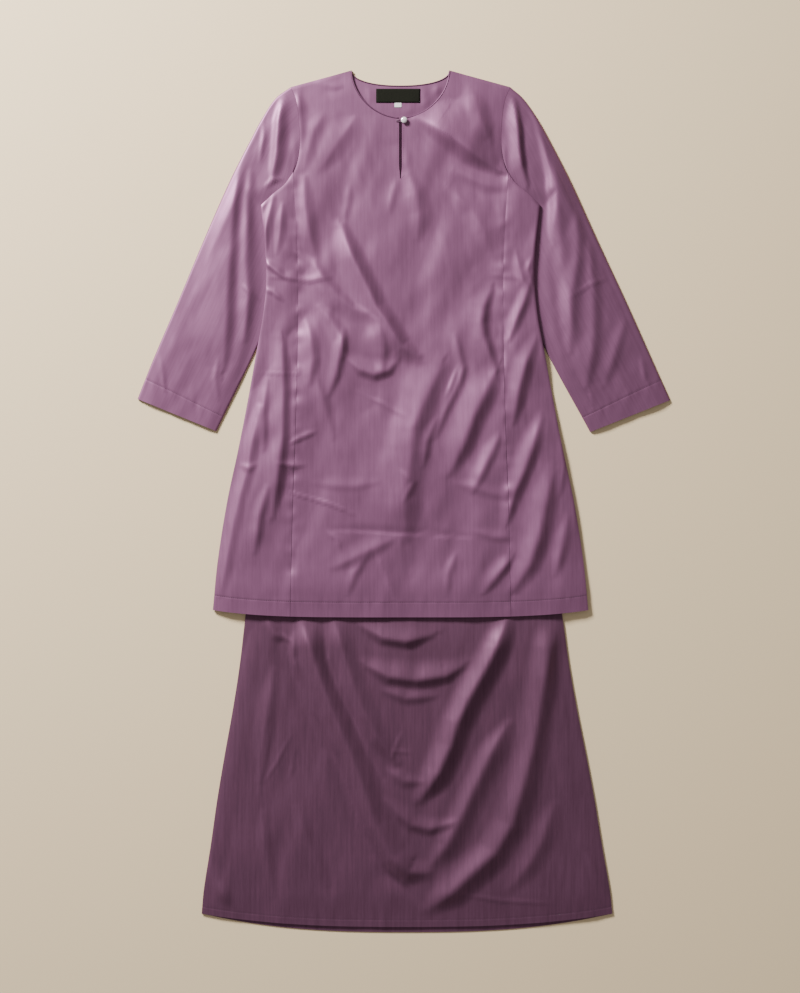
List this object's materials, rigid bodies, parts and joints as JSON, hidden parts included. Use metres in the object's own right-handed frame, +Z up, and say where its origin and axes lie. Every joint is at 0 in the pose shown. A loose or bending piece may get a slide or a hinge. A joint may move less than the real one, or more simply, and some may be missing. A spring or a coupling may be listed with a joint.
{
  "type": "baju kurung",
  "caption": "Long panelled tunic with set-in sleeves, slit neck and pearl button, laid flat over its flared skirt.",
  "frame": {"origin": "centre of the bounding box in plan, at the height of the surface that the garment lies on", "axes": "+Z up from the surface, +Y from the skirt's hem toward the neck, +X toward the wearer's left sleeve (the right of a picture taken from above)"},
  "size_m": [0.9316, 1.5069, 0.0144],
  "materials": {
    "tunic_satin": "purple slub satin, soft sheen",
    "skirt_satin": "purple slub satin, soft sheen, in shade",
    "roll_satin": "purple satin, rolled edge",
    "pearl": "pearl",
    "thread": "purple thread",
    "label_tape": "charcoal woven tape, bare",
    "tab_tape": "white woven tape, bare"
  },
  "bodies": {
    "root": {"tunic_front_centre": "tunic_satin", "tunic_front_side_left": "tunic_satin", "tunic_front_side_right": "tunic_satin", "tunic_back_centre": "tunic_satin", "tunic_back_side_left": "tunic_satin", "tunic_back_side_right": "tunic_satin", "sleeve_left": "tunic_satin", "sleeve_right": "tunic_satin", "skirt_front": "skirt_satin", "skirt_back": "skirt_satin", "skirt_waistband": "skirt_satin", "neck_roll_front_left": "roll_satin", "neck_roll_front_right": "roll_satin", "neck_roll_back": "roll_satin", "pearl_button": "pearl", "button_loop": "thread", "neck_label": "label_tape", "size_tab": "tab_tape"}
  },
  "joints": []
}
